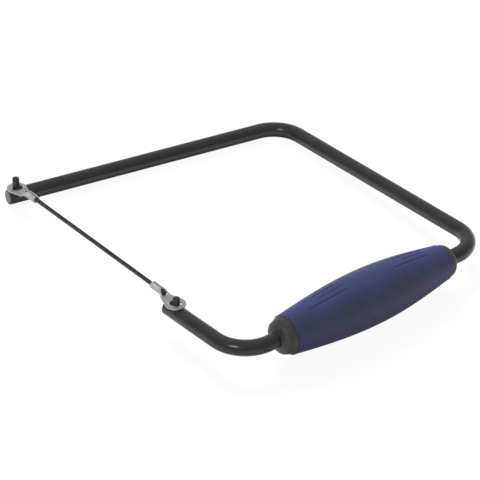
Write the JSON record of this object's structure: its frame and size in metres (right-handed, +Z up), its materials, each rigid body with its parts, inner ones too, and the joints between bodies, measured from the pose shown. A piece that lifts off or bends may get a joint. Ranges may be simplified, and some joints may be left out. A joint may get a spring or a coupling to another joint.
{
  "type": "hand tile saw",
  "caption": "Bow-shaped hand saw for ceramic tile: bent black rod frame, moulded soft grip, and a grit-coated wire blade stretched between pins by crimped ring lugs.",
  "frame": {"origin": "on the bench, under the middle of the saw's bounding box", "axes": "+Z up from the bench that the saw lies on, +X along the handle towards the spine, +Y from the handle towards the front arm"},
  "size_m": [0.1892, 0.2264, 0.0322],
  "materials": {
    "rod_paint": "satin black paint",
    "pin_paint": "satin black paint",
    "lug_tin": "tin-plated sheet",
    "blade_grit": "dark carbide grit brazed on steel wire",
    "grip_rubber": "matt moulded soft rubber",
    "handle_plastic": "satin moulded plastic"
  },
  "bodies": {
    "saw_frame": {"frame_rod": "rod_paint", "front_pin": "pin_paint", "rear_pin": "pin_paint", "handle_core": "handle_plastic", "grip_sleeve": "grip_rubber", "upper_end_cap": "handle_plastic", "lower_end_cap": "handle_plastic"},
    "blade": {"blade_wire": "blade_grit", "front_lug": "lug_tin", "rear_lug": "lug_tin"}
  },
  "joints": [
    {"name": "blade_lift", "type": "slide", "parent": "saw_frame", "child": "blade", "axis": [0.0117, 0.0613, 0.998], "range_m": [0, 0.012]}
  ]
}
